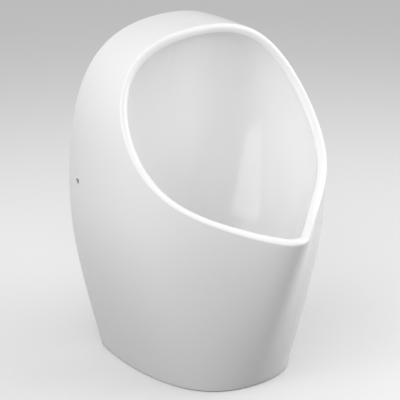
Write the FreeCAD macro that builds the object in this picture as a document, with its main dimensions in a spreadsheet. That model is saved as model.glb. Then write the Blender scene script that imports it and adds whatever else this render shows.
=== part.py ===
# Wall-hung waterless urinal: an egg-shaped ceramic body with a teardrop opening, a lift-out trap
# cartridge with a float valve, the trap housing under the bowl, the waste run and the wall fixing.
# The origin lies on the wall, midway between the two bracket holes. +Z is up, the lip points to -Y.
import FreeCAD, Part
import Sketcher
import math
import os
import re

Vector = FreeCAD.Vector
doc = FreeCAD.newDocument("waterless_urinal")
sheet = doc.addObject("Spreadsheet::Sheet", "dims")

# Driving sizes in millimetres. Heights of the ceramic are above its foot, depths are from the wall.
# Heights inside the trap are above the bottom of the trap housing.
sizes = {
    # ceramic body
    "body_height": 520,
    "rim_top_rise": 5,
    "foot_half_width": 116.5,
    "wall_half_width": 169,
    "widest_height": 276,
    "foot_depth": 250,
    "lip_depth": 362,
    "lip_height": 274.5,
    "hood_depth": 96,
    "ceramic_wall": 11,
    "rim_width": 14.5,
    "rim_rise": 4.5,
    "cut_overrun": 40,
    # bowl and drain seat
    "drain_depth": 175,
    "bowl_floor_height": 172,
    "seat_boss": 14,
    "boss_spare": 4,
    "nose_solid_depth": 85,
    "side_solid_depth": 90,
    "hood_solid_depth": 45,
    "drain_clearance": 1.5,
    "recess_clearance": 3,
    "floor_land": 4,
    # trap housing
    "barrel_radius": 41,
    "barrel_wall": 3.5,
    "flange_width": 10,
    "flange_thickness": 4,
    "pot_depth": 127,
    "pot_floor": 3,
    "pot_corner": 4,
    "outlet_height": 30,
    "stub_radius": 24,
    "stub_reach": 72,
    "mouth_depth": 26,
    # seals and nut under the bowl
    "flange_seal_thickness": 3,
    "backing_seal_thickness": 3,
    "slip_washer_thickness": 2,
    "ring_width": 11,
    "ring_clearance": 0.5,
    "thread_clearance": 0.1,
    "nut_height": 13,
    "nut_width": 12,
    "nut_chamfer": 1.5,
    "lug_reach": 5,
    "lug_width": 9,
    # trap cartridge
    "seat_gap": 0.3,
    "funnel_flange_width": 8.5,
    "funnel_flange_thickness": 3,
    "skirt_height": 28,
    "skirt_wall": 4.5,
    "skirt_clearance": 0.3,
    "oring_section": 3,
    "oring_clearance": 0.08,
    "oring_top_drop": 7,
    "oring_pitch": 9,
    "ledge_drop": 12,
    "ledge_width": 3,
    "funnel_wall": 2,
    "throat_radius": 12,
    "throat_top_height": 84,
    "cup_bottom_height": 9,
    "cup_wall": 2,
    "cup_floor": 2.5,
    "cup_top_height": 112,
    "cup_clearance": 0.05,
    "window_height": 16,
    "window_width": 14,
    "window_sill_height": 66,
    "guide_pin_radius": 3,
    "guide_pin_height": 17,
    "rest_boss_radius": 8,
    "rest_boss_height": 3,
    "cleaner_height": 7,
    "cleaner_hole_radius": 13,
    "cleaner_clearance": 0.5,
    # strainer cover
    "cover_thickness": 2.5,
    "cover_edge": 3,
    "cover_crown": 8,
    "cover_skirt": 4,
    "cover_clearance": 0.1,
    "slot_width": 4,
    "slot_inner_radius": 13,
    "slot_outer_radius": 29,
    "knob_radius": 9,
    "knob_height": 1.5,
    # float valve
    "float_radius": 20,
    "float_height": 24,
    "float_lift": 10,
    "float_taper": 5,
    "float_bore_clearance": 0.3,
    "float_roof": 5,
    "float_seal_thickness": 2.5,
    "float_seal_overhang": 2,
    "float_hub_radius": 9,
    "float_hub_rise": 2,
    # waste run to the wall
    "pipe_radius": 20,
    "pipe_wall": 2,
    "pipe_clearance": 0.2,
    "cone_seal_length": 6,
    "slip_ring_thickness": 2,
    "outlet_nut_wall": 6,
    "outlet_nut_grip": 14,
    "outlet_nut_end": 4,
    "socket_bore_radius": 25.3,
    "socket_wall": 3,
    "socket_length": 38,
    "socket_shoulder": 8,
    "socket_seal_setback": 8,
    "socket_seal_length": 8,
    "socket_seal_depth": 2.5,
    "socket_bulge": 2.5,
    # wall fixing
    "fixing_height": 300,
    "side_hole_setback": 33.5,
    "side_hole_radius": 4.3,
    "side_hole_depth": 5.5,
    "side_bolt_radius": 2.5,
    "side_wall_at_hole": 9,
    "sleeve_wall": 0.6,
    "sleeve_flange": 0.9,
    "sleeve_clearance": 0.1,
    "screw_head_radius": 3.9,
    "screw_head_height": 2.6,
    "screw_tail": 2,
    "pad_radius": 8,
    "pad_thickness": 11.5,
    "pad_clearance": 0.5,
    "bracket_thickness": 4,
    "bracket_height": 50,
    "bracket_wall_leg": 48,
    "bracket_side_leg": 50,
    "bracket_bend_radius": 5,
    "wall_hole_radius": 4.5,
    "wall_hole_inset": 24,
    "clamp_nut_radius": 5.8,
    "clamp_nut_height": 5,
}
row = 0
for name, value in sizes.items():
    row = row + 1
    sheet.set(f"A{row}", name)
    sheet.set(f"B{row}", str(value))
    sheet.setAlias(f"B{row}", name)
doc.recompute()


def size(name):
    return float(sheet.get(name))


def cells(text):
    """Expression with every word read from the sheet."""
    return re.sub(r"[a-z][a-z_]*", lambda word: "dims." + word.group(), text)


def number(text):
    result = sheet.evalExpression(cells(text))
    return float(getattr(result, "Value", result))


def place(piece, across, along, up, turn=None):
    """Bind a piece's place to the sheet; up is counted from the origin between the brackets."""
    if turn:
        piece.Placement = FreeCAD.Placement(Vector(), FreeCAD.Rotation(*turn))
    for axis, text in (("x", across), ("y", along), ("z", up)):
        piece.setExpression(f"Placement.Base.{axis}", cells(text))


# Ceramic body. One smooth closed skin runs from the foot and wall edges up the outside, over the
# round rim, down the bowl to the drain, back under the bowl and down the inside of the skirt.
# The wall outline and the level sections are curves given as shares of the named sizes.
lower_outline_shares = ((0, 0), (0.507, 0.366), (1, 0.694), (1, 1))
upper_outline_shares = ((1, 0), (1, 0.736), (0.70, 1), (0, 1))
foot_section_shares = ((1, 0), (1.111, 0.286), (1.147, 0.992), (0.461, 0.954), (0.305, 1), (0, 1))
head_section_shares = ((1, 0), (1.125, 0.186), (1.233, 0.797), (0.438, 0.187), (0.304, 1), (0, 1))
rim_line_shares = ((0, 1), (0.020, 0.630), (0.508, 0.037), (1, 0))
nose_bow_share = 0.058
crown_rise_share = 0.304
bowl_drop_shares = ((0.42,), (0.62,), (0.17,))
bowl_floor_shares = ((0.39,), (0.32,), (0.29,))
floor_slope_share = 0.12
nose_fall_share = 1.5
drain_spare_share = 0.75
boss_growth_share = 2
station_spread_share = 0.45
foot_overrun_share = 0.15
wall_overrun_share = 0.076
base_corner_share = 0.2
inner_ray_share = 0.9
round_arc_share = 4 / 3
top_search_share = 0.2
skin_row_shares = (0, 0.18, 0.36, 0.54, 0.72, 0.88, 1)
bead_level_shares = (0, 0.25, 0.5, 0.75, 1)
bowl_row_shares = (0, 0.15, 0.32, 0.5, 0.68, 0.84, 1)
boss_start_share = 0.6
back_end_shares = ((0.68,), (0.42,), (0.30,))
half_stations = 14
lead_stations = 5
panel_step = 2
back_rows = 4
inside_rows = 4
solve_steps = 44
level_steps = 12
sample_count = 120
slope_step = 0.001
bowl_slope_step = 0.01


def bezier(points, share):
    degree = len(points) - 1
    total = [0] * len(points[0])
    for index, point in enumerate(points):
        weight = math.comb(degree, index) * (1 - share) ** (degree - index) * share ** index
        total = [have + weight * value for have, value in zip(total, point)]
    return total


def solve(function, target, low, high):
    """Share between low and high where a rising function reaches the target."""
    for step in range(solve_steps):
        middle = (low + high) / 2
        if function(middle) < target:
            low = middle
        else:
            high = middle
    return (low + high) / 2


def wall_point(turn):
    """Half width and height of the wall edge: 0 at the foot, 1 at the widest height, 2 at the top."""
    foot, wide, level = size("foot_half_width"), size("wall_half_width"), size("widest_height")
    if turn < 1:
        across, up = bezier(lower_outline_shares, turn)
        return foot + (wide - foot) * across, level * up
    across, up = bezier(upper_outline_shares, turn - 1)
    return wide * across, level + (size("body_height") - level) * up


def nose_depth(height):
    share = height / size("lip_height")
    bow = share + nose_bow_share * share * (share - 1)
    return size("foot_depth") + (size("lip_depth") - size("foot_depth")) * bow


def section(height, reach):
    """Level section as shares: 0 at the wall edge, 1 at the middle of the nose."""
    low = bezier(foot_section_shares, reach)
    high = bezier(head_section_shares, reach)
    share = min(max(height / size("body_height"), 0), 1)
    return [a + (b - a) * share for a, b in zip(low, high)]


def skin_point(turn, reach):
    half_width, height = wall_point(turn)
    across, out = section(height, reach)
    rise = crown_rise_share * max(height - size("widest_height"), 0) * (across - 1)
    return Vector(half_width * across, -nose_depth(height) * out, height + rise)


def unit(vector):
    result = Vector(vector)
    result.normalize()
    return result


def skin_normal(turn, reach):
    up = skin_point(turn + slope_step, reach) - skin_point(turn - slope_step, reach)
    out = skin_point(turn, reach + slope_step) - skin_point(turn, reach - slope_step)
    return unit(up.cross(out))


def rim_line(share):
    """Side view of the rim: 0 over the hood, 1 at the lip."""
    out, up = bezier(rim_line_shares, share)
    depth = size("hood_depth") + (size("lip_depth") - size("hood_depth")) * out
    top = size("body_height") + size("rim_top_rise")
    return depth, size("lip_height") + (top - size("lip_height")) * up


def rim_height_at_wall(share):
    """Wall height and reach of the skin where the rim's side view meets it."""
    depth, height = rim_line(share)
    level = height
    widest = size("widest_height")
    for step in range(level_steps):
        target = depth / nose_depth(level)
        reach = solve(lambda value: section(level, value)[1], target, 0, 1)
        gain = crown_rise_share * (section(level, reach)[0] - 1)
        level = height if height < widest else (height + gain * widest) / (1 + gain)
    return level, reach


def rim_place(share):
    level, reach = rim_height_at_wall(share)
    turn = solve(lambda value: wall_point(value)[1], level, 0, 2)
    return turn, reach


def spaced(points, shares):
    """Positions along a line of points at the given shares of its length."""
    lengths = [0]
    for before, after in zip(points, points[1:]):
        lengths.append(lengths[-1] + before.distanceToPoint(after))
    places = []
    for share in shares:
        target = share * lengths[-1]
        index = 0
        while index < len(points) - 2 and lengths[index + 1] < target:
            index = index + 1
        span = lengths[index + 1] - lengths[index]
        places.append(index + (target - lengths[index]) / span)
    return places


def mirrored(vector):
    return Vector(-vector.x, vector.y, vector.z)


def whole_ring(half):
    """Right half of a ring of stations, closed by its mirror image."""
    return half + [mirrored(item) for item in half[-2:0:-1]]


# Stations round the rim, close together at the lip.
top_share = solve(lambda value: -rim_height_at_wall(value)[0], -size("body_height"), 0, top_search_share)
rim_shares = [1 + (top_share - 1) * (index / sample_count) ** 2 for index in range(sample_count + 1)]
rim_samples = [skin_point(*rim_place(share)) for share in rim_shares]
station_shares = []
for index in range(half_stations + 1):
    share = index / half_stations
    station_shares.append(station_spread_share * share + (1 - station_spread_share) * share ** 2)
rim_places = []
for position in spaced(rim_samples, station_shares):
    share = 1 + (top_share - 1) * (position / sample_count) ** 2
    rim_places.append(rim_place(share))
rim_places[0] = (rim_places[0][0], 1)
rim_places[-1] = (2, rim_places[-1][1])


def base_place(share):
    """Line round the foot and up the wall edge, beyond both planes, with its corner drawn round."""
    angle = math.pi / 2 * share
    turn = (2 + foot_overrun_share) * (1 - math.cos(angle) ** base_corner_share) - foot_overrun_share
    reach = (1 + wall_overrun_share) * (1 - math.sin(angle) ** base_corner_share) - wall_overrun_share
    return turn, reach


base_samples = [skin_point(*base_place(index / sample_count)) for index in range(sample_count + 1)]
base_places = []
for position in spaced(base_samples, [index / half_stations for index in range(half_stations + 1)]):
    base_places.append(base_place(position / sample_count))
base_places[0] = base_place(0)
base_places[-1] = (2, -wall_overrun_share)


def ray(station, share):
    base, rim = base_places[station], rim_places[station]
    return base[0] + (rim[0] - base[0]) * share, base[1] + (rim[1] - base[1]) * share


rim_points = [skin_point(*item) for item in rim_places]
rim_normals = [skin_normal(*item) for item in rim_places]
rim_normals[0].x = 0
rim_normals[-1].x = 0
ring_points = whole_ring(rim_points)
drain_centre = Vector(0, -size("drain_depth"), size("bowl_floor_height"))
flange_radius = size("barrel_radius") + size("flange_width")
recess_radius = flange_radius + size("recess_clearance")
land_edge = recess_radius + size("floor_land")
recess_floor = size("bowl_floor_height") - size("flange_thickness") - size("flange_seal_thickness")
boss_bottom = recess_floor - size("seat_boss")
hole_radius = size("barrel_radius") + size("drain_clearance")

solid_depths = ((size("nose_solid_depth"),), (size("side_solid_depth"),), (size("hood_solid_depth"),))
bead_leg = size("rim_rise") * round_arc_share
boss_low = boss_bottom - size("boss_spare")
skin_lines, bead_lines, bowl_frames, bowl_lines, inside_lines = [], [], [], [], []
for station in range(half_stations + 1):
    share = station / half_stations
    normal = unit(rim_normals[station])
    rim = rim_points[station]
    tangent = ring_points[(station + 1) % len(ring_points)] - ring_points[station - 1]
    edge = unit(tangent.cross(normal))
    if edge.dot(rim - skin_point(*ray(station, inner_ray_share))) < 0:
        edge = -edge
    length = rim.distanceToPoint(skin_point(*ray(station, 0)))
    last = 1 - size("rim_rise") / length
    line = [skin_point(*ray(station, last * value)) for value in skin_row_shares[:-1]]
    line.append(rim - edge * size("rim_rise"))
    skin_lines.append(line)
    start = line[-1] - normal * size("rim_width")
    bead_lines.append([line[-1], line[-1] + edge * bead_leg, start + edge * bead_leg, start])
    span = start.distanceToPoint(drain_centre) - land_edge
    fall = unit(-edge - Vector(0, 0, nose_fall_share * (1 - share)))
    first = start - edge * size("rim_width")
    second = start + fall * (span * bezier(bowl_drop_shares, share)[0])
    angle = math.pi * share
    outward = Vector(math.sin(angle), -math.cos(angle), 0)
    end = drain_centre + outward * land_edge
    third = end + (outward + Vector(0, 0, floor_slope_share)) * (span * bezier(bowl_floor_shares, share)[0])
    inner = drain_centre + outward * (hole_radius * drain_spare_share)
    bowl_frames.append((start, first, second, third, end))
    bowl_lines.append([Vector(*bezier(bowl_frames[-1], value)) for value in bowl_row_shares] + [inner])
    depth = bezier(solid_depths, share)[0]
    line = []
    for index in range(inside_rows + 1):
        spot = ray(station, (1 - depth / length) * (1 - index / inside_rows))
        line.append(skin_point(*spot) - skin_normal(*spot) * size("ceramic_wall"))
    inside_lines.append(line)


def bowl_point(station, share):
    if station < 0:
        return mirrored(bowl_point(-station, share))
    if station > half_stations:
        return mirrored(bowl_point(2 * half_stations - station, share))
    return Vector(*bezier(bowl_frames[station], share))


def bowl_normal(station, share):
    """Away from the inside of the bowl."""
    down = bowl_point(station, share) - bowl_point(station, share - bowl_slope_step)
    across = bowl_point(station + 1, share) - bowl_point(station - 1, share)
    return unit(down.cross(across))


back_lines = []
for station in range(half_stations + 1):
    inner = bowl_lines[station][-1]
    back = [Vector(inner.x, inner.y, boss_low)]
    last = bezier(back_end_shares, station / half_stations)[0]
    for index in range(back_rows + 1):
        share = 1 + (last - 1) * index / back_rows
        growth = min(1, boss_growth_share * max(0, (share - boss_start_share) / (1 - boss_start_share)))
        thick = size("ceramic_wall") + (size("bowl_floor_height") - boss_low - size("ceramic_wall")) * growth
        back.append(bowl_point(station, share) + bowl_normal(station, share) * thick)
    back_lines.append(back + [inside_lines[station][0]])


# The first and the last station lie exactly on the middle plane.
for lines in (skin_lines, bead_lines, bowl_lines, inside_lines, back_lines):
    for station in (0, half_stations):
        lines[station] = [Vector(0, point.y, point.z) for point in lines[station]]


def ring_curve(half):
    """Smooth curve through the stations, led past both ends of the half ring by mirrored stations."""
    before = [mirrored(item) for item in half[lead_stations:0:-1]]
    after = [mirrored(item) for item in half[-2:-2 - lead_stations:-1]]
    points = before + half + after
    curve = Part.BSplineCurve()
    curve.interpolate(Points=points, Parameters=[index - lead_stations for index in range(len(points))])
    return curve


def band(lines, smooth=True):
    """Faces of the skin through lines that run from station to station; the bead is one cubic arc."""
    count = len(lines[0])
    if smooth:
        steps = [0]
        for row in range(1, count):
            gap = sum(line[row].distanceToPoint(line[row - 1]) for line in lines)
            steps.append(steps[-1] + gap)
        columns = []
        for line in lines:
            curve = Part.BSplineCurve()
            curve.interpolate(Points=line, Parameters=steps)
            columns.append(curve.getPoles())
        knots, repeats, degree = curve.getKnots(), curve.getMultiplicities(), curve.Degree
        levels = steps
    else:
        columns = lines
        degree = count - 1
        knots, repeats = [0, 1], [count, count]
        levels = knots if count == 2 else bead_level_shares
    rings = [ring_curve([column[row] for column in columns]) for row in range(len(columns[0]))]
    right = [list(column) for column in zip(*[ring.getPoles() for ring in rings])]
    left = [[mirrored(pole) for pole in column] for column in reversed(right)]
    stations = rings[0].getKnots()
    backward = [-station for station in reversed(stations)]
    faces = []
    for start in range(0, half_stations, panel_step):
        end = min(start + panel_step, half_stations)
        for poles, marks, low, high in ((right, stations, start, end), (left, backward, -end, -start)):
            for bottom, top in zip(levels, levels[1:]):
                surface = Part.BSplineSurface()
                surface.buildFromPolesMultsKnots(
                    poles, rings[0].getMultiplicities(), repeats, marks, knots,
                    False, False, rings[0].Degree, degree)
                surface.segment(low, high, bottom, top)
                faces.append(surface.toShape())
    return faces


def strip(lines, first):
    """Straight-drawn band between two neighbouring rows."""
    return band([line[first:first + 2] for line in lines], smooth=False)


faces = band(skin_lines) + band(bead_lines, smooth=False) + band([line[:-1] for line in bowl_lines])
faces = faces + strip(bowl_lines, len(bowl_row_shares) - 1)
faces = faces + band([[bowl[-1], back[0]] for bowl, back in zip(bowl_lines, back_lines)], smooth=False)
for first in range(len(back_lines[0]) - 1):
    faces = faces + strip(back_lines, first)
for first in range(inside_rows):
    faces = faces + strip(inside_lines, first)
faces = faces + band([[inside[-1], skin[0]] for inside, skin in zip(inside_lines, skin_lines)], smooth=False)
shell = Part.makeShell(faces)
shell.sewShape()
blank = Part.Solid(shell)
if blank.Volume < 0:
    blank.reverse()

# The blank ends flat on the wall and at the foot. The drain seat is bored and faced on both sides,
# and each side has a stepped screw hole with a flat seat for the bracket's pad behind it.
overrun = size("cut_overrun")
half_room = size("wall_half_width") + overrun * 2
room_depth = size("lip_depth") + overrun * 2
room_height = size("body_height") + overrun
room = Part.makeBox(2 * half_room, room_depth, room_height, Vector(-half_room, -room_depth, 0))
hole_height = size("fixing_height")
hole_turn = solve(lambda value: wall_point(value)[1], hole_height, 0, 2)
hole_reach = solve(lambda value: -skin_point(hole_turn, value).y, size("side_hole_setback"), 0, 1)
side_face = skin_point(hole_turn, hole_reach).x
for name, value in (
    ("side_face_half_width", side_face),
    ("pad_seat_half_width", side_face - size("side_wall_at_hole")),
    ("screw_seat_half_width", side_face - size("side_hole_depth")),
):
    row = row + 1
    sheet.set(f"A{row}", name)
    sheet.set(f"B{row}", str(value))
    sheet.setAlias(f"B{row}", name)
doc.recompute()

drain_axis = Vector(0, -size("drain_depth"), 0)
land_radius = size("barrel_radius") + size("nut_width") + size("lug_reach") + size("recess_clearance")
cuts = [
    Part.makeCylinder(hole_radius, room_height, drain_axis),
    Part.makeCylinder(recess_radius, room_height, drain_axis + Vector(0, 0, recess_floor)),
    Part.makeCylinder(land_radius, overrun, drain_axis + Vector(0, 0, boss_bottom - overrun)),
]
sleeve_hole = size("side_bolt_radius") + size("sleeve_wall") + 2 * size("sleeve_clearance")
for side in (1, -1):
    outward = Vector(side, 0, 0)
    axis = Vector(0, -size("side_hole_setback"), hole_height)
    seat = axis + outward * number("pad_seat_half_width")
    ledge = axis + outward * number("screw_seat_half_width")
    cuts.append(Part.makeCylinder(sleeve_hole, 2 * overrun, seat - outward * overrun, outward))
    cuts.append(Part.makeCylinder(size("side_hole_radius"), overrun, ledge, outward))
    cuts.append(Part.makeCylinder(number("pad_radius + pad_clearance"), overrun, seat, -outward))
ceramic = doc.addObject("Part::Feature", "ceramic_body")
ceramic.Shape = blank.common(room).cut(cuts).Solids[0]
place(ceramic, "0", "0", "-fixing_height")
pieces = [ceramic]


def origin_feature(body, role):
    return [item for item in body.Origin.OriginFeatures if item.Role == role][0]


def blank_sketch(body, name, role):
    sketch = body.newObject("Sketcher::SketchObject", name)
    sketch.AttachmentSupport = [(origin_feature(body, role), "")]
    sketch.MapMode = "FlatFace"
    return sketch


def bind(sketch, kind, where, text, name):
    """Dimension in a sketch that follows the sheet."""
    index = sketch.addConstraint(Sketcher.Constraint(kind, *where, number(text)))
    sketch.renameConstraint(index, name)
    sketch.setExpression(f"Constraints.{name}", cells(text))


def arc_between(start, end, radius):
    """Arc that bulges to the right of the way from start to end, drawn the shorter way."""
    half = (end - start) / 2
    rise = math.sqrt(max(radius ** 2 - half.Length ** 2, 0))
    left = unit(Vector(-half.y, half.x, 0))
    centre = start + half + left * rise
    middle = centre + unit(start + half - centre) * radius if rise else start + half - left * radius
    return Part.Arc(start, middle, end)


def outline(body, name, corners, role="XZ_Plane"):
    """Closed sketch. A corner is a pair of expressions; a third one is the radius of an arc to the next."""
    sketch = blank_sketch(body, name, role)
    spots = [Vector(number(corner[0]), number(corner[1]), 0) for corner in corners]
    count = len(corners)
    for index, corner in enumerate(corners):
        start, end = spots[index], spots[(index + 1) % count]
        if len(corner) > 2:
            sketch.addGeometry(arc_between(start, end, number(corner[2])), False)
        else:
            sketch.addGeometry(Part.LineSegment(start, end), False)
    for index in range(count):
        sketch.addConstraint(Sketcher.Constraint("Coincident", index, 2, (index + 1) % count, 1))
    for index, corner in enumerate(corners):
        bind(sketch, "DistanceX", (index, 1), corner[0], f"across_{index}")
        bind(sketch, "DistanceY", (index, 1), corner[1], f"up_{index}")
        if len(corner) > 2:
            bind(sketch, "Radius", (index,), corner[2], f"radius_{index}")
    return sketch


def circle(body, name, role, across, up, radius):
    sketch = blank_sketch(body, name, role)
    centre = Vector(number(across), number(up), 0)
    sketch.addGeometry(Part.Circle(centre, Vector(0, 0, 1), number(radius)), False)
    bind(sketch, "DistanceX", (0, 3), across, "across")
    bind(sketch, "DistanceY", (0, 3), up, "up")
    bind(sketch, "Radius", (0,), radius, "radius")
    return sketch


def new_body(name):
    return doc.addObject("PartDesign::Body", name)


def turned(name, corners):
    """Body turned about its own Z axis from an outline of radii and heights."""
    body = new_body(name)
    profile = outline(body, name + "_outline", corners)
    turning = body.newObject("PartDesign::Revolution", name + "_turning")
    turning.Profile = profile
    turning.ReferenceAxis = (profile, ["V_Axis"])
    turning.Angle = full_turn
    return body


def extruded(body, kind, name, profile, length, reverse=False, both_ways=False):
    feature = body.newObject(kind, name)
    feature.Profile = profile
    feature.setExpression("Length", cells(length))
    feature.Reversed = reverse
    if both_ways:
        feature.SideType = "Symmetric"
    return feature


def repeated_round(body, name, feature, count):
    pattern = body.newObject("PartDesign::PolarPattern", name)
    pattern.Originals = [feature]
    pattern.Axis = (origin_feature(body, "Z_Axis"), [""])
    pattern.Angle = full_turn
    pattern.Occurrences = count
    body.Tip = pattern


def ring(name, inner, outer, height):
    return turned(name, [(inner, "0"), (outer, "0"), (outer, height), (inner, height)])


full_turn = 360
quarter_turn = 90
lug_count = 8
window_count = 6
slot_count = 12
hex_sides = 6

# Trap housing: a pot that hangs in the drain by its flange, with a stub for the waste pipe at its back.
pot_bottom = "bowl_floor_height - pot_depth - fixing_height"
pot_bore = "(barrel_radius - barrel_wall)"
flange_edge = "(barrel_radius + flange_width)"
flange_under = "(pot_depth - flange_thickness)"
housing = turned("trap_housing", [
    ("0", "0"),
    ("barrel_radius - pot_corner", "0"),
    ("barrel_radius", "pot_corner"),
    ("barrel_radius", flange_under),
    (flange_edge, flange_under),
    (flange_edge, "pot_depth"),
    ("0", "pot_depth"),
])
stub = circle(housing, "stub_circle", "XZ_Plane", "0", "outlet_height", "stub_radius")
extruded(housing, "PartDesign::Pad", "outlet_stub", stub, "stub_reach", reverse=True)
bore = circle(housing, "pot_bore_circle", "XY_Plane", "0", "0", pot_bore)
bore.setExpression("AttachmentOffset.Base.z", cells("pot_floor"))
extruded(housing, "PartDesign::Pocket", "pot_bore", bore, "pot_depth", reverse=True)
waste = circle(housing, "waste_circle", "XZ_Plane", "0", "outlet_height", "pipe_radius - pipe_wall")
extruded(housing, "PartDesign::Pocket", "waste_bore", waste, "stub_reach + cut_overrun")
mouth = circle(housing, "mouth_circle", "XZ_Plane", "0", "outlet_height", "pipe_radius + pipe_clearance")
mouth.setExpression("AttachmentOffset.Base.z", cells("mouth_depth - stub_reach"))
extruded(housing, "PartDesign::Pocket", "stub_mouth", mouth, "mouth_depth + cut_overrun")
place(housing, "0", "-drain_depth", pot_bottom)
pieces.append(housing)

# Rings that seal and clamp the housing in the drain: one seal under the flange, and a seal,
# a slip washer and a lugged nut below the ceramic seat.
seat_top = f"({flange_under} - flange_seal_thickness)"
seat_bottom = f"({seat_top} - seat_boss)"
ring_inner = "(barrel_radius + ring_clearance)"
ring_outer = "(barrel_radius + ring_width)"
flange_seal = ring("flange_seal", ring_inner, flange_edge, "flange_seal_thickness")
place(flange_seal, "0", "-drain_depth", f"{pot_bottom} + {seat_top}")
pieces.append(flange_seal)
level = seat_bottom
for name, height in (("backing_seal", "backing_seal_thickness"), ("slip_washer", "slip_washer_thickness")):
    level = f"({level} - {height})"
    washer = ring(name, ring_inner, ring_outer, height)
    place(washer, "0", "-drain_depth", f"{pot_bottom} + {level}")
    pieces.append(washer)

nut_bore = "(barrel_radius + thread_clearance)"
nut_edge = "(barrel_radius + nut_width)"
lock_nut = turned("lock_nut", [
    (nut_bore, "0"),
    (f"{nut_edge} - nut_chamfer", "0"),
    (nut_edge, "nut_chamfer"),
    (nut_edge, "nut_height"),
    (nut_bore, "nut_height"),
])
lug = outline(lock_nut, "lug_outline", [
    (f"{nut_edge} - nut_width / 2", "-lug_width / 2"),
    (f"{nut_edge} + lug_reach", "-lug_width / 2"),
    (f"{nut_edge} + lug_reach", "lug_width / 2"),
    (f"{nut_edge} - nut_width / 2", "lug_width / 2"),
], role="XY_Plane")
lug.setExpression("AttachmentOffset.Base.z", cells("nut_chamfer"))
first_lug = extruded(lock_nut, "PartDesign::Pad", "grip_lug", lug, "nut_height - nut_chamfer")
repeated_round(lock_nut, "grip_lugs", first_lug, lug_count)
place(lock_nut, "0", "-drain_depth", f"{pot_bottom} + {level} - nut_height")
pieces.append(lock_nut)

# Inlet funnel of the lift-out cartridge: flange, skirt with two seal grooves, ledge for the
# cleaner block, and a cone that ends in the throat above the float.
flange_low = "(pot_depth + seat_gap)"
flange_high = f"({flange_low} + funnel_flange_thickness)"
funnel_edge = f"({pot_bore} + funnel_flange_width)"
skirt_outer = f"({pot_bore} - skirt_clearance)"
skirt_inner = f"({skirt_outer} - skirt_wall)"
skirt_low = f"({flange_low} - skirt_height)"
ledge_height = f"({flange_high} - ledge_drop)"
ledge_inner = f"({skirt_inner} - ledge_width)"
cup_stop = "(cup_top_height + seat_gap)"
boss_top = "(cup_bottom_height + cup_floor + rest_boss_height)"
float_low = f"({boss_top} + seat_gap)"
float_top = f"({float_low} + float_height)"
throat_low = f"({float_top} + float_seal_thickness + float_lift + seat_gap)"
oring_radius = f"({pot_bore} - oring_clearance - oring_section / 2)"
groove_floor = f"({oring_radius} - oring_section / 2 - oring_clearance)"
oring_heights = [
    f"({flange_low} - oring_top_drop)",
    f"({flange_low} - oring_top_drop - oring_pitch)",
]
funnel_outline = [(skirt_inner, ledge_height), (skirt_inner, flange_high), (funnel_edge, flange_high)]
funnel_outline += [(funnel_edge, flange_low), (skirt_outer, flange_low)]
half_groove = "(oring_section / 2 + oring_clearance)"
for height in oring_heights:
    funnel_outline += [
        (skirt_outer, f"{height} + {half_groove}"),
        (groove_floor, f"{height} + {half_groove}"),
        (groove_floor, f"{height} - {half_groove}"),
        (skirt_outer, f"{height} - {half_groove}"),
    ]
throat_outer = "throat_radius + funnel_wall"
funnel_outline += [(skirt_outer, skirt_low), (skirt_inner, skirt_low), (skirt_inner, cup_stop)]
funnel_outline += [(ledge_inner, cup_stop), (throat_outer, "throat_top_height"), (throat_outer, throat_low)]
funnel_outline += [("throat_radius", throat_low), ("throat_radius", "throat_top_height")]
funnel_outline += [(ledge_inner, ledge_height)]
funnel = turned("inlet_funnel", funnel_outline)
place(funnel, "0", "-drain_depth", pot_bottom)
pieces.append(funnel)

# Trap cup under the funnel: it holds the liquid, lets it out through windows near the top, and
# carries the pin that guides the float.
cup_outer = f"({skirt_inner} - cup_clearance)"
cup_inner = f"({cup_outer} - cup_wall)"
cup_floor_top = "(cup_bottom_height + cup_floor)"
pin_top = f"({boss_top} + guide_pin_height)"
cup = turned("trap_cup", [
    ("0", "cup_bottom_height"),
    (cup_outer, "cup_bottom_height"),
    (cup_outer, "cup_top_height"),
    (cup_inner, "cup_top_height"),
    (cup_inner, cup_floor_top),
    ("rest_boss_radius", cup_floor_top),
    ("rest_boss_radius", boss_top),
    ("guide_pin_radius", boss_top),
    ("guide_pin_radius", pin_top),
    ("0", pin_top),
])
window = outline(cup, "window_outline", [
    ("-window_width / 2", "window_sill_height"),
    ("window_width / 2", "window_sill_height"),
    ("window_width / 2", "window_sill_height + window_height"),
    ("-window_width / 2", "window_sill_height + window_height"),
])
first_window = extruded(cup, "PartDesign::Pocket", "window", window, f"{cup_outer} + cut_overrun")
repeated_round(cup, "windows", first_window, window_count)
place(cup, "0", "-drain_depth", pot_bottom)
pieces.append(cup)

# Seal rings in the funnel's grooves.
rings = []
for name, height in zip(("upper_o_ring", "lower_o_ring"), oring_heights):
    torus = doc.addObject("Part::Torus", name)
    torus.setExpression("Radius1", cells(oring_radius))
    torus.setExpression("Radius2", cells("oring_section / 2"))
    place(torus, "0", "-drain_depth", f"{pot_bottom} + {height}")
    rings.append(torus)
o_rings = doc.addObject("Part::Compound", "trap_o_rings")
o_rings.Links = rings
pieces.append(o_rings)

# Cleaner block on the funnel's ledge.
cleaner = ring("cleaner_block", "cleaner_hole_radius", f"({skirt_inner} - cleaner_clearance)", "cleaner_height")
place(cleaner, "0", "-drain_depth", f"{pot_bottom} + {ledge_height}")
pieces.append(cleaner)

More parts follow.
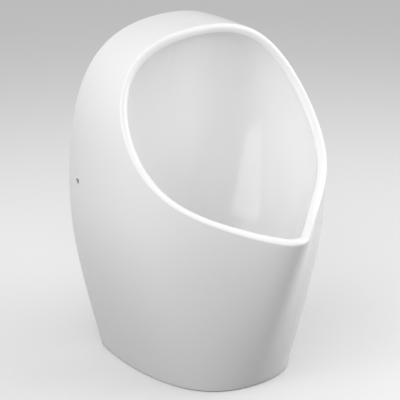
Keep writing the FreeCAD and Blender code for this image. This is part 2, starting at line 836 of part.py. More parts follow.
# Strainer cover: a low dome that plugs into the funnel, with radial slots and a round lifting boss.
plug_outer = f"({skirt_inner} - cover_clearance)"
plug_inner = f"({plug_outer} - cover_thickness)"
dome_rise = "(cover_crown - cover_edge)"
dome_run = f"({funnel_edge} - knob_radius)"
cover = turned("trap_cover", [
    ("0", "cover_skirt + cover_crown - cover_thickness"),
    (plug_inner, "cover_skirt + cover_edge"),
    (plug_inner, "0"),
    (plug_outer, "0"),
    (plug_outer, "cover_skirt"),
    (funnel_edge, "cover_skirt"),
    (funnel_edge, "cover_skirt + cover_edge", f"({dome_run}^2 + {dome_rise}^2) / (2 * {dome_rise})"),
    ("knob_radius", "cover_skirt + cover_crown"),
    ("knob_radius", "cover_skirt + cover_crown + knob_height"),
    ("0", "cover_skirt + cover_crown + knob_height"),
])
slot = blank_sketch(cover, "slot_outline", "XY_Plane")
slot_half = number("slot_width / 2")
slot_near = Vector(number("slot_inner_radius + slot_width / 2"), 0, 0)
slot_far = Vector(number("slot_outer_radius - slot_width / 2"), 0, 0)
aside = Vector(0, slot_half, 0)
reach = Vector(slot_half, 0, 0)
slot.addGeometry(Part.Arc(slot_near + aside, slot_near - reach, slot_near - aside), False)
slot.addGeometry(Part.LineSegment(slot_near - aside, slot_far - aside), False)
slot.addGeometry(Part.Arc(slot_far - aside, slot_far + reach, slot_far + aside), False)
slot.addGeometry(Part.LineSegment(slot_far + aside, slot_near + aside), False)
for index in range(slot.GeometryCount):
    slot.addConstraint(Sketcher.Constraint("Tangent", index, 2, (index + 1) % slot.GeometryCount, 1))
slot.addConstraint(Sketcher.Constraint("Equal", 0, 2))
slot.addConstraint(Sketcher.Constraint("PointOnObject", 0, 3, -1))
slot.addConstraint(Sketcher.Constraint("PointOnObject", 2, 3, -1))
bind(slot, "DistanceX", (0, 3), "slot_inner_radius + slot_width / 2", "near")
bind(slot, "DistanceX", (2, 3), "slot_outer_radius - slot_width / 2", "far")
bind(slot, "Radius", (0,), "slot_width / 2", "half_width")
first_slot = extruded(
    cover, "PartDesign::Pocket", "slot", slot, "cover_skirt + cover_crown + cut_overrun", reverse=True)
repeated_round(cover, "slots", first_slot, slot_count)
place(cover, "0", "-drain_depth", f"{pot_bottom} + {flange_high} - cover_skirt")
pieces.append(cover)

# Float on the cup's guide pin, with a flat seal round its hub that closes the throat from below.
bore_radius = "(guide_pin_radius + float_bore_clearance)"
hub_top = "(float_height + float_seal_thickness + float_hub_rise)"
trap_float = turned("trap_float", [
    (bore_radius, "0"),
    ("float_radius - float_taper", "0"),
    ("float_radius", "float_taper"),
    ("float_radius", "float_height"),
    ("float_hub_radius", "float_height"),
    ("float_hub_radius", hub_top),
    ("0", hub_top),
    ("0", "float_height - float_roof"),
    (bore_radius, "float_height - float_roof"),
])
place(trap_float, "0", "-drain_depth", f"{pot_bottom} + {float_low}")
pieces.append(trap_float)
float_seal = ring(
    "float_seal", "(float_hub_radius + cover_clearance)", "(float_radius + float_seal_overhang)",
    "float_seal_thickness")
place(float_seal, "0", "-drain_depth", f"{pot_bottom} + {float_top}")
pieces.append(float_seal)

# Waste pipe from the housing's stub to the wall, ending in a push-on socket with a seal bulge.
# Its own zero is the bottom of the stub's mouth, and its axis runs back to the wall.
to_wall = (Vector(1, 0, 0), -quarter_turn)
outlet_level = f"{pot_bottom} + outlet_height"
mouth_bottom = "(stub_reach - mouth_depth - drain_depth)"
run = f"(0 - {mouth_bottom})"
pipe_inner = "(pipe_radius - pipe_wall)"
socket_outer = "(socket_bore_radius + socket_wall)"
socket_start = f"({run} - socket_length)"
seal_end = f"({run} - socket_seal_setback)"
seal_start = f"({seal_end} - socket_seal_length)"
groove_radius = "(socket_bore_radius + socket_seal_depth)"
bulge_radius = f"({socket_outer} + socket_bulge)"
pipe = turned("outlet_pipe", [
    (pipe_inner, "seat_gap"),
    ("pipe_radius", "seat_gap"),
    ("pipe_radius", f"{socket_start} - socket_wall - socket_shoulder"),
    (socket_outer, f"{socket_start} - socket_wall"),
    (socket_outer, f"{seal_start} - socket_wall - socket_bulge"),
    (bulge_radius, f"{seal_start} - socket_wall"),
    (bulge_radius, f"{seal_end} + socket_wall - socket_bulge / 2"),
    (socket_outer, f"{seal_end} + socket_wall + socket_bulge / 2"),
    (socket_outer, run),
    ("socket_bore_radius", run),
    ("socket_bore_radius", seal_end),
    (groove_radius, seal_end),
    (groove_radius, seal_start),
    ("socket_bore_radius", seal_start),
    ("socket_bore_radius", socket_start),
    (pipe_inner, socket_start),
])
place(pipe, "0", mouth_bottom, outlet_level, to_wall)
pieces.append(pipe)

# Slip joint between stub and pipe: a tapered seal, a slip ring and a nut on the stub.
pipe_hole = "(pipe_radius + pipe_clearance)"
cone_seal = turned("outlet_cone_seal", [
    (pipe_hole, "0"),
    ("stub_radius", "0"),
    ("stub_radius", "cone_seal_length / 2"),
    ("(pipe_radius + stub_radius) / 2", "cone_seal_length"),
    (pipe_hole, "cone_seal_length"),
])
place(cone_seal, "0", "stub_reach - drain_depth", outlet_level, to_wall)
pieces.append(cone_seal)
slip_ring = ring("outlet_slip_ring", pipe_hole, "stub_radius", "slip_ring_thickness")
place(slip_ring, "0", "stub_reach + cone_seal_length - drain_depth", outlet_level, to_wall)
pieces.append(slip_ring)
nut_hole = "(stub_radius + thread_clearance)"
nut_outer = f"({nut_hole} + outlet_nut_wall)"
nut_floor = "(outlet_nut_grip + cone_seal_length + slip_ring_thickness)"
outlet_nut = turned("outlet_nut", [
    (nut_hole, "0"),
    (nut_outer, "0"),
    (nut_outer, f"{nut_floor} + outlet_nut_end - nut_chamfer"),
    (f"{nut_outer} - nut_chamfer", f"{nut_floor} + outlet_nut_end"),
    (pipe_hole, f"{nut_floor} + outlet_nut_end"),
    (pipe_hole, nut_floor),
    (nut_hole, nut_floor),
])
place(outlet_nut, "0", "stub_reach - outlet_nut_grip - drain_depth", outlet_level, to_wall)
pieces.append(outlet_nut)

# Lip seal in the socket's groove, drawn as the inserted pipe presses it, level with the bore.
socket_seal = ring(
    "socket_seal", "socket_bore_radius", f"({groove_radius} - cover_clearance)", "socket_seal_length")
place(socket_seal, "0", "-socket_seal_setback - socket_seal_length", outlet_level, to_wall)
pieces.append(socket_seal)

# Wall brackets: bent steel angles, one leg screwed to the wall and one leg beside the ceramic.
side_face_in = "(pad_seat_half_width - pad_thickness)"
leg_inner = f"({side_face_in} - bracket_thickness)"
leg_end = f"({side_face_in} - bracket_wall_leg)"
inner_bend = "(bracket_bend_radius - bracket_thickness)"
right_bracket = new_body("wall_bracket_right")
angle = outline(right_bracket, "bracket_outline", [
    (leg_end, "-bracket_thickness"),
    (f"{side_face_in} - bracket_bend_radius", "-bracket_thickness"),
    (leg_inner, "-bracket_thickness - " + inner_bend),
    (leg_inner, "-bracket_side_leg"),
    (side_face_in, "-bracket_side_leg"),
    (side_face_in, "-bracket_bend_radius", "bracket_bend_radius"),
    (f"{side_face_in} - bracket_bend_radius", "0"),
    (leg_end, "0"),
], role="XY_Plane")
extruded(right_bracket, "PartDesign::Pad", "bracket_angle", angle, "bracket_height", both_ways=True)
wall_hole = circle(
    right_bracket, "wall_hole_circle", "XZ_Plane", f"{side_face_in} - wall_hole_inset", "0", "wall_hole_radius")
extruded(right_bracket, "PartDesign::Pocket", "wall_hole", wall_hole, "cut_overrun", both_ways=True)
bolt_hole = "(side_bolt_radius + sleeve_clearance)"
side_hole = circle(right_bracket, "side_hole_circle", "YZ_Plane", "-side_hole_setback", "0", bolt_hole)
extruded(
    right_bracket, "PartDesign::Pocket", "side_hole", side_hole, "side_face_half_width", reverse=True)
place(right_bracket, "0", "0", "0")
left_bracket = doc.addObject("Part::Mirroring", "wall_bracket_left")
left_bracket.Source = right_bracket
left_bracket.Normal = Vector(1, 0, 0)
pieces.append(left_bracket)
pieces.append(right_bracket)


def both_sides(name, body):
    """The same piece on the right and on the left as one group of two solids."""
    twin = doc.addObject("Part::Mirroring", name + "_twin")
    twin.Source = body
    twin.Normal = Vector(1, 0, 0)
    pair = doc.addObject("Part::Compound", name)
    pair.Links = [body, twin]
    pieces.append(pair)


# Side fixing: a rubber pad between bracket and ceramic, a nylon sleeve in the ceramic's hole,
# a screw sunk in it, and a nut behind the bracket.
to_side = (Vector(0, 1, 0), quarter_turn)
pad = ring("bracket_pad", bolt_hole, "pad_radius", "pad_thickness")
place(pad, side_face_in, "-side_hole_setback", "0", to_side)
both_sides("bracket_pads", pad)

sleeve_outer = f"({bolt_hole} + sleeve_wall)"
sleeve_length = "(screw_seat_half_width - pad_seat_half_width)"
sleeve = turned("screw_sleeve", [
    (bolt_hole, "0"),
    (sleeve_outer, "0"),
    (sleeve_outer, sleeve_length),
    ("screw_head_radius", sleeve_length),
    ("screw_head_radius", f"{sleeve_length} + sleeve_flange"),
    (bolt_hole, f"{sleeve_length} + sleeve_flange"),
])
place(sleeve, "pad_seat_half_width", "-side_hole_setback", "0", to_side)
both_sides("screw_sleeves", sleeve)

screw_start = f"({leg_inner} - clamp_nut_height - screw_tail)"
shank_end = f"(screw_seat_half_width + sleeve_flange - {screw_start})"
screw = turned("side_screw", [
    ("0", "0"),
    ("side_bolt_radius", "0"),
    ("side_bolt_radius", shank_end),
    ("screw_head_radius", shank_end),
    ("screw_head_radius", f"{shank_end} + screw_head_height"),
    ("0", f"{shank_end} + screw_head_height"),
])
place(screw, screw_start, "-side_hole_setback", "0", to_side)
both_sides("side_screws", screw)

nut_prism = doc.addObject("Part::Prism", "clamp_nut_prism")
nut_prism.Polygon = hex_sides
nut_prism.setExpression("Circumradius", cells("clamp_nut_radius"))
nut_prism.setExpression("Height", cells("clamp_nut_height"))
nut_thread = doc.addObject("Part::Cylinder", "clamp_nut_thread")
nut_thread.setExpression("Radius", cells("side_bolt_radius + thread_clearance / 2"))
nut_thread.setExpression("Height", cells("clamp_nut_height"))
clamp_nut = doc.addObject("Part::Cut", "clamp_nut")
clamp_nut.Base = nut_prism
clamp_nut.Tool = nut_thread
place(clamp_nut, f"{leg_inner} - clamp_nut_height", "-side_hole_setback", "0", to_side)
both_sides("clamp_nuts", clamp_nut)

# Every object has to be sound before anything is written.
doc.recompute()
for item in doc.Objects:
    if "Invalid" in item.State or "Error" in item.State:
        raise RuntimeError(f"{item.Label} did not build: {item.State}")
for piece in pieces:
    if piece.Shape.isNull() or not piece.Shape.isValid():
        raise RuntimeError(f"{piece.Label} has no sound shape")
os.makedirs("parts", exist_ok=True)
for piece in pieces:
    piece.Shape.exportStep(f"parts/{piece.Label}.step")
    print(piece.Label, len(piece.Shape.Solids), round(piece.Shape.Volume))
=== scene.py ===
# Wall-hung waterless urinal, dressed for a product picture. Metres, +Z up, the lip points to -Y.
import math

import bmesh
import bpy
import numpy as np
from mathutils import Matrix, Vector


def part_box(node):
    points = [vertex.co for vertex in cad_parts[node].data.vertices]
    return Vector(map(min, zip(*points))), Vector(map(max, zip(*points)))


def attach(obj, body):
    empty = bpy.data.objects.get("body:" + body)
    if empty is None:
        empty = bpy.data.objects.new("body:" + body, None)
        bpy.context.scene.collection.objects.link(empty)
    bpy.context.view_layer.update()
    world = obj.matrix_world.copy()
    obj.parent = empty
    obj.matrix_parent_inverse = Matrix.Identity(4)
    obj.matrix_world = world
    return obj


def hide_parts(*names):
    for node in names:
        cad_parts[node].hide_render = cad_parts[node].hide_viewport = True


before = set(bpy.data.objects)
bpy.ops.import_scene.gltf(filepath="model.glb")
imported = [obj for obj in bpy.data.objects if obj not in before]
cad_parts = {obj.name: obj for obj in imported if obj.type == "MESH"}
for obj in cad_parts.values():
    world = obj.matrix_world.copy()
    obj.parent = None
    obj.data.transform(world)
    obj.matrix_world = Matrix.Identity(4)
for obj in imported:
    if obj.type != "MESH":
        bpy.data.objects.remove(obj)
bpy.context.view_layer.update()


# Ceramic body
# One slip-cast shell of white vitreous china: an egg-shaped skirt, a teardrop rim rolled into the bowl,
# and a thick boss with a bored seat for the trap. It is glazed and fired, but for its wall and foot edges.
foot_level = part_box("ceramic_body")[0].z
body_height = 0.520
rim_top_height = 0.525
foot_half_width = 0.1165
wall_half_width = 0.169
widest_height = 0.276
foot_depth = 0.250
lip_depth = 0.362
lip_height = 0.2745
hood_depth = 0.096
shell_wall = 0.011
rim_width = 0.0145
rim_rise = 0.0045
drain_depth = 0.175
bowl_floor_height = 0.172
flange_seat_drop = 0.007
seat_boss = 0.014
boss_spare = 0.004
recess_radius = 0.054
drain_hole_radius = 0.0425
land_edge_radius = 0.058
under_land_radius = 0.061
edge_round = 0.0012
base_round = 0.0022
nose_solid, side_solid, hood_solid = 0.085, 0.090, 0.045
lower_outline_shares = ((0, 0), (0.507, 0.366), (1, 0.694), (1, 1))
upper_outline_shares = ((1, 0), (1, 0.736), (0.70, 1), (0, 1))
foot_section_shares = ((1, 0), (1.111, 0.286), (1.147, 0.992), (0.461, 0.954), (0.305, 1), (0, 1))
head_section_shares = ((1, 0), (1.125, 0.186), (1.233, 0.797), (0.438, 0.187), (0.304, 1), (0, 1))
rim_line_shares = ((0, 1), (0.020, 0.630), (0.508, 0.037), (1, 0))
nose_bow_share = 0.058
crown_rise_share = 0.304
bowl_drop_shares = ((0.42,), (0.62,), (0.17,))
bowl_floor_shares = ((0.39,), (0.32,), (0.29,))
back_end_shares = ((0.68,), (0.42,), (0.30,))
floor_slope_share = 0.12
nose_fall_share = 1.5
boss_growth_share = 2
boss_start_share = 0.6
back_start_share = 0.95
station_spread_share = 0.45
foot_stations, wall_stations = 42, 78
half_stations = foot_stations + wall_stations
skin_rows, rim_rows, bowl_rows, back_rows, skirt_rows = 33, 14, 46, 16, 15
skin_row_power, bowl_row_power = 1.25, 0.92


def curve_at(points, share):
    """Points of a curve given by its ends and handles, or of one such curve for each station."""
    share = np.asarray(share, float)
    degree = len(points) - 1
    total = 0
    for index, point in enumerate(points):
        weight = math.comb(degree, index) * (1 - share) ** (degree - index) * share ** index
        total = total + weight[..., None] * np.asarray(point, float)
    return total


def bisect(function, target, low, high, halvings=44):
    """Where a rising function reaches each target."""
    low = np.full(np.shape(target), float(low))
    high = np.full(np.shape(target), float(high))
    for step in range(halvings):
        middle = (low + high) / 2
        under = function(middle) < target
        low = np.where(under, middle, low)
        high = np.where(under, high, middle)
    return (low + high) / 2


def wall_edge(turn):
    """Half width and height of the wall edge: 0 at the foot, 1 at the widest height, 2 at the top."""
    low = curve_at(lower_outline_shares, turn)
    high = curve_at(upper_outline_shares, np.asarray(turn) - 1)
    across = np.where(turn < 1, foot_half_width + (wall_half_width - foot_half_width) * low[..., 0],
                      wall_half_width * high[..., 0])
    up = np.where(turn < 1, widest_height * low[..., 1],
                  widest_height + (body_height - widest_height) * high[..., 1])
    return across, up


def nose_depth(height):
    """How far the middle of the nose stands off the wall."""
    share = height / lip_height
    return foot_depth + (lip_depth - foot_depth) * (share + nose_bow_share * share * (share - 1))


def level_section(height, reach):
    """Shares of the half width and of the nose depth along a level cut, blended from foot to top."""
    low = curve_at(foot_section_shares, reach)
    high = curve_at(head_section_shares, reach)
    share = np.clip(height / body_height, 0, 1)[..., None]
    both = low + (high - low) * share
    return both[..., 0], both[..., 1]


def skin(turn, reach):
    """Points of the outer skin, from the wall edge at reach 0 to the middle of the nose at reach 1."""
    half_width, height = wall_edge(turn)
    across, out = level_section(height, reach)
    rise = crown_rise_share * np.maximum(height - widest_height, 0) * (across - 1)
    return np.stack([half_width * across, -nose_depth(height) * out, height + rise], -1)


def units(vectors):
    """The same directions with a length of one."""
    return vectors / np.linalg.norm(vectors, axis=-1, keepdims=True)


def skin_normals(turn, reach, step=0.001):
    """Outward directions of the skin."""
    up = skin(turn + step, reach) - skin(turn - step, reach)
    out = skin(turn, reach + step) - skin(turn, reach - step)
    return units(np.cross(up, out))


def rim_on_skin(share, passes=14):
    """Where the side view of the rim, from the hood at 0 to the lip at 1, meets the skin."""
    side = curve_at(rim_line_shares, share)
    depth = hood_depth + (lip_depth - hood_depth) * side[..., 0]
    height = lip_height + (rim_top_height - lip_height) * side[..., 1]
    level = height
    for step in range(passes):
        reach = bisect(lambda value: level_section(level, value)[1], depth / nose_depth(level), 0, 1)
        gain = crown_rise_share * (level_section(level, reach)[0] - 1)
        level = np.where(height < widest_height, height, (height + gain * widest_height) / (1 + gain))
    return level, reach


def evenly(points, shares):
    """Positions along a line of points at the given shares of its length."""
    lengths = np.concatenate([[0], np.cumsum(np.linalg.norm(np.diff(points, axis=0), axis=1))])
    return np.interp(np.asarray(shares) * lengths[-1], lengths, np.arange(len(points)))


sample_count = 400
sample_marks = np.linspace(0, 1, sample_count + 1)
highest_share = 0.2
top_share = bisect(lambda value: -rim_on_skin(value)[0], np.array([-body_height]), 0, highest_share)[0]
rim_marks = 1 + (top_share - 1) * sample_marks ** 2
levels, reaches = rim_on_skin(rim_marks)
turns = bisect(lambda value: wall_edge(value)[1], levels, 0, 2)
station_marks = np.linspace(0, 1, half_stations + 1)
spread = station_spread_share * station_marks + (1 - station_spread_share) * station_marks ** 2
places = evenly(skin(turns, reaches), spread) / sample_count
levels, rim_reach = rim_on_skin(1 + (top_share - 1) * places ** 2)
rim_turn = bisect(lambda value: wall_edge(value)[1], levels, 0, 2)
rim_turn[-1] = 2
rim_reach[0] = 1

foot_line = skin(np.zeros(sample_count + 1), 1 - sample_marks)
wall_line = skin(2 * sample_marks, np.zeros(sample_count + 1))
foot_reach = 1 - evenly(foot_line, np.linspace(0, 1, foot_stations + 1)) / sample_count
wall_turn = 2 * evenly(wall_line, np.linspace(0, 1, wall_stations + 1)) / sample_count
base_turn = np.concatenate([np.zeros(foot_stations), wall_turn])
base_reach = np.concatenate([foot_reach[:-1], np.zeros(wall_stations + 1)])


def on_ray(share):
    """Places on the skin along each station's line from the foot or wall edge to the rim."""
    return base_turn + (rim_turn - base_turn) * share, base_reach + (rim_reach - base_reach) * share


def mirrored(points):
    """The same points on the other side of the middle."""
    return points * np.array([-1, 1, 1])


def along_ring(points):
    """Difference between the neighbours of each station of a half ring."""
    led = np.concatenate([mirrored(points[1:2]), points, mirrored(points[-2:-1])])
    return led[2:] - led[:-2]


rim = skin(rim_turn, rim_reach)
rim_normal = skin_normals(rim_turn, rim_reach)
rim_edge = units(np.cross(along_ring(rim), rim_normal))
near_rim_share = 0.9
near_rim = skin(*on_ray(np.full(half_stations + 1, near_rim_share)))
rim_edge = rim_edge * np.sign(np.sum(rim_edge * (rim - near_rim), -1, keepdims=True))
ray_length = np.linalg.norm(rim - skin(base_turn, base_reach), axis=1)
skin_end = 1 - rim_rise / ray_length

# Rows from the foot and wall edges up the skin, over the rim and down the bowl.
rows = []
row_kinds = []
for mark in 1 - (1 - np.linspace(0, 1, skin_rows + 1)[:-1]) ** skin_row_power:
    rows.append(skin(*on_ray(skin_end * mark)))
    row_kinds.append("skin")
bead_start = rim - rim_edge * rim_rise
crest_share = 3 / 4
bead_leg = rim_rise / crest_share
bead_end = bead_start - rim_normal * rim_width
bead_points = (bead_start, bead_start + rim_edge * bead_leg, bead_end + rim_edge * bead_leg, bead_end)
for mark in np.linspace(0, 1, rim_rows + 1)[:-1]:
    rows.append(curve_at(bead_points, mark))
    row_kinds.append("rim")

drain = np.array([0, -drain_depth, bowl_floor_height])
span = (np.linalg.norm(bead_end - drain, axis=1) - land_edge_radius)[:, None]
fall = units(-rim_edge - np.array([0, 0, 1]) * (nose_fall_share * (1 - station_marks))[:, None])
angles = math.pi * station_marks
outward = np.stack([np.sin(angles), -np.cos(angles), 0 * angles], -1)
floor_edge = drain + outward * land_edge_radius
floor_lean = outward + np.array([0, 0, floor_slope_share])
bowl_points = (
    bead_end,
    bead_end - rim_edge * rim_width,
    bead_end + fall * span * curve_at(bowl_drop_shares, station_marks),
    floor_edge + floor_lean * span * curve_at(bowl_floor_shares, station_marks),
    floor_edge,
)
for mark in np.linspace(0, 1, bowl_rows) ** bowl_row_power:
    rows.append(curve_at(bowl_points, mark))
    row_kinds.append("bowl")

# The bored seat: a shallow recess for the trap's flange, the drain hole and the faced boss below it.
seat_height = bowl_floor_height - flange_seat_drop
boss_bottom = seat_height - seat_boss
for radius, height in (
    (recess_radius + edge_round, bowl_floor_height),
    (recess_radius + edge_round / 4, bowl_floor_height - edge_round / 4),
    (recess_radius, bowl_floor_height - edge_round),
    (recess_radius, seat_height),
    (drain_hole_radius + edge_round, seat_height),
    (drain_hole_radius, seat_height - edge_round),
    (drain_hole_radius, boss_bottom + edge_round),
    (drain_hole_radius + edge_round, boss_bottom),
    (under_land_radius, boss_bottom),
):
    rows.append(outward * radius + np.array([0, -drain_depth, height]))
    row_kinds.append("seat")

# The hidden back of the bowl and the inside of the skirt, a wall's thickness behind the glazed side.
boss_low = boss_bottom - boss_spare
back_end = curve_at(back_end_shares, station_marks)[:, 0]
slope_step = 0.01
for mark in np.linspace(0, 1, back_rows):
    share = back_start_share + (back_end - back_start_share) * mark
    here = curve_at(bowl_points, share)
    before = curve_at(bowl_points, share - slope_step)
    growth = boss_growth_share * (share - boss_start_share) / (1 - boss_start_share)
    growth = np.clip(growth, 0, 1)
    thick = shell_wall + (bowl_floor_height - boss_low - shell_wall) * growth
    rows.append(here + units(np.cross(here - before, along_ring(here))) * thick[:, None])
    row_kinds.append("back")
solid = curve_at(((nose_solid,), (side_solid,), (hood_solid,)), station_marks)[:, 0]
for mark in np.linspace(1, 0, skirt_rows):
    spot = on_ray((1 - solid / ray_length) * mark)
    rows.append(skin(*spot) - skin_normals(*spot) * shell_wall)
    row_kinds.append("back")

# The inner line of the bare edge lies in the foot plane and in the wall plane.
last, before = rows[-1], rows[-2]
drop = last - before
to_foot = before + drop * (-before[:, 2:3] / drop[:, 2:3])
to_wall = before + drop * (-before[:, 1:2] / drop[:, 1:2])
on_foot = (np.arange(half_stations + 1) < foot_stations)[:, None]
edge = np.where(on_foot, to_foot, to_wall)
edge[:, 1] = np.minimum(edge[:, 1], 0)
edge[:, 2] = np.maximum(edge[:, 2], 0)
edge[foot_stations, 1:] = 0
rows[-1] = edge
row_kinds[-1] = "bare"

# The outer foot and wall edges are rubbed round before firing.
corner = rows[0]
up_skin = units(rows[1] - corner) * base_round
inward = units(edge - corner) * base_round
edge_kinds = ["bare", "bare", "skin", "skin", "skin"]
edge_marks = np.linspace(0, 1, len(edge_kinds))
rows[:1] = [curve_at((corner + inward, corner, corner + up_skin), mark) for mark in edge_marks]
row_kinds[:1] = edge_kinds

rings = []
for row in rows:
    row[0, 0] = 0
    row[-1, 0] = 0
    ring = np.concatenate([row, mirrored(row[-2:0:-1])])
    ring[:, 2] += foot_level
    rings.append(ring)
columns = len(rings[0])


def grid_faces(row_count, column_count):
    """Quads of a grid that closes on itself both ways."""
    faces = []
    for row in range(row_count):
        upper = (row + 1) % row_count * column_count
        lower = row * column_count
        for column in range(column_count):
            after = (column + 1) % column_count
            faces.append((lower + column, lower + after, upper + after, upper + column))
    return faces


def new_piece(name, mesh):
    """Object of a mesh, placed in the scene."""
    piece = bpy.data.objects.new(name, mesh)
    bpy.context.scene.collection.objects.link(piece)
    return piece


mesh = bpy.data.meshes.new("china_shell")
mesh.from_pydata(np.concatenate(rings).tolist(), [], grid_faces(len(rings), columns))
shell = bmesh.new()
shell.from_mesh(mesh)
bmesh.ops.recalc_face_normals(shell, faces=shell.faces)
shell.to_mesh(mesh)
shell.free()
for name, kind in (("bare", "bare"), ("hidden", "back")):
    marks = mesh.attributes.new(name, "FLOAT", "POINT")
    row_marks = np.array([row_kind == kind for row_kind in row_kinds], np.float32)
    marks.data.foreach_set("value", np.repeat(row_marks, columns))
china = new_piece("china_shell", mesh)


def lathe(profile, segments):
    """Closed solid turned about the Z axis, from radii and heights that start and end on the axis."""
    points = [(0, 0, profile[0][1])]
    faces = []
    for radius, height in profile[1:-1]:
        for index in range(segments):
            angle = 2 * math.pi * index / segments
            points.append((radius * math.cos(angle), radius * math.sin(angle), height))
    points.append((0, 0, profile[-1][1]))
    rows = len(profile) - 2
    for index in range(segments):
        after = (index + 1) % segments
        faces.append((0, 1 + after, 1 + index))
        for row in range(rows - 1):
            low, high = 1 + row * segments, 1 + (row + 1) * segments
            faces.append((low + index, low + after, high + after, high + index))
        last = 1 + (rows - 1) * segments
        faces.append((last + index, last + after, len(points) - 1))
    mesh = bpy.data.meshes.new("turned")
    mesh.from_pydata(points, [], faces)
    return mesh


def baked(piece):
    """Turn a piece's live modifiers into its plain mesh."""
    bpy.context.view_layer.update()
    mesh = bpy.data.meshes.new_from_object(piece.evaluated_get(bpy.context.evaluated_depsgraph_get()))
    piece.modifiers.clear()
    piece.data = mesh


def cut_away(piece, cutter_meshes):
    """Take the cutters out of a piece and drop them."""
    for mesh in cutter_meshes:
        cutter = new_piece("cutter", mesh)
        cut = piece.modifiers.new("cut", "BOOLEAN")
        cut.operation = "DIFFERENCE"
        cut.solver = "EXACT"
        cut.object = cutter
        baked(piece)
        bpy.data.objects.remove(cutter)


# Each side has a stepped hole: a faced seat for the bracket's pad, a neck for the sleeve, and a mouth
# for the screw head whose glazed edge is slightly flared.
side_hole_setback = 0.0335
side_hole_radius = 0.0043
sleeve_hole_radius = 0.0033
pad_seat_radius = 0.0085
side_wall_at_hole = 0.009
side_hole_depth = 0.0055
mouth_flare = 0.0007
flare_round_share = 0.3
pad_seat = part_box("bracket_pads")[1].x
hole_overrun = 0.020
hole_segments = 48
hole_outline = (
    (0, -hole_overrun),
    (pad_seat_radius, -hole_overrun),
    (pad_seat_radius, 0),
    (sleeve_hole_radius, 0),
    (sleeve_hole_radius, side_wall_at_hole - side_hole_depth),
    (side_hole_radius, side_wall_at_hole - side_hole_depth),
    (side_hole_radius, side_wall_at_hole - mouth_flare),
    (side_hole_radius + mouth_flare * flare_round_share, side_wall_at_hole - mouth_flare * flare_round_share),
    (side_hole_radius + mouth_flare, side_wall_at_hole),
    (side_hole_radius + mouth_flare, side_wall_at_hole + hole_overrun),
    (0, side_wall_at_hole + hole_overrun),
)
side_cutters = []
for side in (1, -1):
    cutter = lathe(hole_outline, hole_segments)
    cutter.transform(Matrix.Rotation(side * math.pi / 2, 4, "Y"))
    cutter.transform(Matrix.Translation((side * pad_seat, -side_hole_setback, 0)))
    side_cutters.append(cutter)
cut_away(china, side_cutters)


def new_finish(name):
    """An empty surface finish: its node tree, its shader and the coordinates of the object."""
    material = bpy.data.materials.new(name)
    material.use_nodes = True
    tree = material.node_tree
    shader = tree.nodes["Principled BSDF"]
    place = tree.nodes.new("ShaderNodeTexCoord").outputs["Object"]
    return material, tree, shader, place


def wired(tree, kind, settings=(), **sockets):
    """A node with its settings made and its inputs set or linked."""
    item = tree.nodes.new(kind)
    for name, value in dict(settings).items():
        setattr(item, name, value)
    for name, value in sockets.items():
        socket = item.inputs[int(name[1:])] if name[0] == "_" else item.inputs[name.replace("_", " ")]
        if isinstance(value, bpy.types.NodeSocket):
            tree.links.new(value, socket)
        else:
            socket.default_value = value
    return item


def cloudy(tree, place, scale, detail=3):
    """Soft mottling between 0 and 1."""
    return wired(tree, "ShaderNodeTexNoise", Vector=place, Scale=scale, Detail=detail).outputs[0]


def between(tree, share, low, high):
    """A number that runs from low to high as the share runs from 0 to 1."""
    return wired(tree, "ShaderNodeMapRange", Value=share, To_Min=low, To_Max=high).outputs[0]


def blended(tree, share, first, second):
    """A colour between two colours or sockets."""
    item = wired(tree, "ShaderNodeMix", {"data_type": "RGBA"}, _0=share)
    # A mix node's colour sockets come after those for numbers and vectors, under the same names.
    first_socket, second_socket, result = item.inputs[6], item.inputs[7], item.outputs[2]
    for socket, value in ((first_socket, first), (second_socket, second)):
        if isinstance(value, bpy.types.NodeSocket):
            tree.links.new(value, socket)
        else:
            socket.default_value = (*value, 1)
    return result


def roughened(tree, shader, height, strength, depth):
    """Small relief on the shader."""
    bump = wired(tree, "ShaderNodeBump", Height=height, Strength=strength, Distance=depth)
    tree.links.new(bump.outputs[0], shader.inputs["Normal"])


def glazed_china():
    """White glaze over vitreous china, thinner and duller inside, with a bare bisque edge."""
    material, tree, shader, place = new_finish("glazed_china")
    bare = wired(tree, "ShaderNodeAttribute", {"attribute_name": "bare"}).outputs["Fac"]
    hidden = wired(tree, "ShaderNodeAttribute", {"attribute_name": "hidden"}).outputs["Fac"]
    pooled = cloudy(tree, place, scale=7)
    colour = blended(tree, pooled, (0.875, 0.878, 0.872), (0.85, 0.855, 0.85))
    mottled = cloudy(tree, place, scale=16, detail=6)
    thin_glaze = blended(tree, mottled, (0.87, 0.86, 0.835), (0.71, 0.69, 0.65))
    colour = blended(tree, between(tree, hidden, low=0, high=0.8), colour, thin_glaze)
    grain = cloudy(tree, place, scale=900)
    bisque = blended(tree, grain, (0.70, 0.665, 0.61), (0.80, 0.775, 0.73))
    colour = blended(tree, bare, colour, bisque)
    tree.links.new(colour, shader.inputs["Base Color"])
    dull = between(tree, cloudy(tree, place, scale=55), low=0.09, high=0.15)
    for where, extra in ((hidden, 0.25), (bare, 0.6)):
        duller = wired(tree, "ShaderNodeMath", {"operation": "MULTIPLY_ADD"}, _0=where, _1=extra, _2=dull)
        dull = duller.outputs[0]
    tree.links.new(dull, shader.inputs["Roughness"])
    shader.inputs["IOR"].default_value = 1.52
    ripple = cloudy(tree, place, scale=38, detail=1)
    roughened(tree, shader, ripple, strength=0.05, depth=0.001)
    return material


def dressed(piece, node, body, finish, crease=50):
    """Even out a piece's shading, give it its finish and let it stand for its plain piece."""
    piece.data.shade_smooth()
    piece.data.set_sharp_from_angle(angle=math.radians(crease))
    evened = piece.modifiers.new("evened", "WEIGHTED_NORMAL")
    evened.keep_sharp = True
    baked(piece)
    piece.data.materials.clear()
    piece.data.materials.append(finish)
    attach(piece, body)
    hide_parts(node)


dressed(china, "ceramic_body", "body", glazed_china(), crease=40)


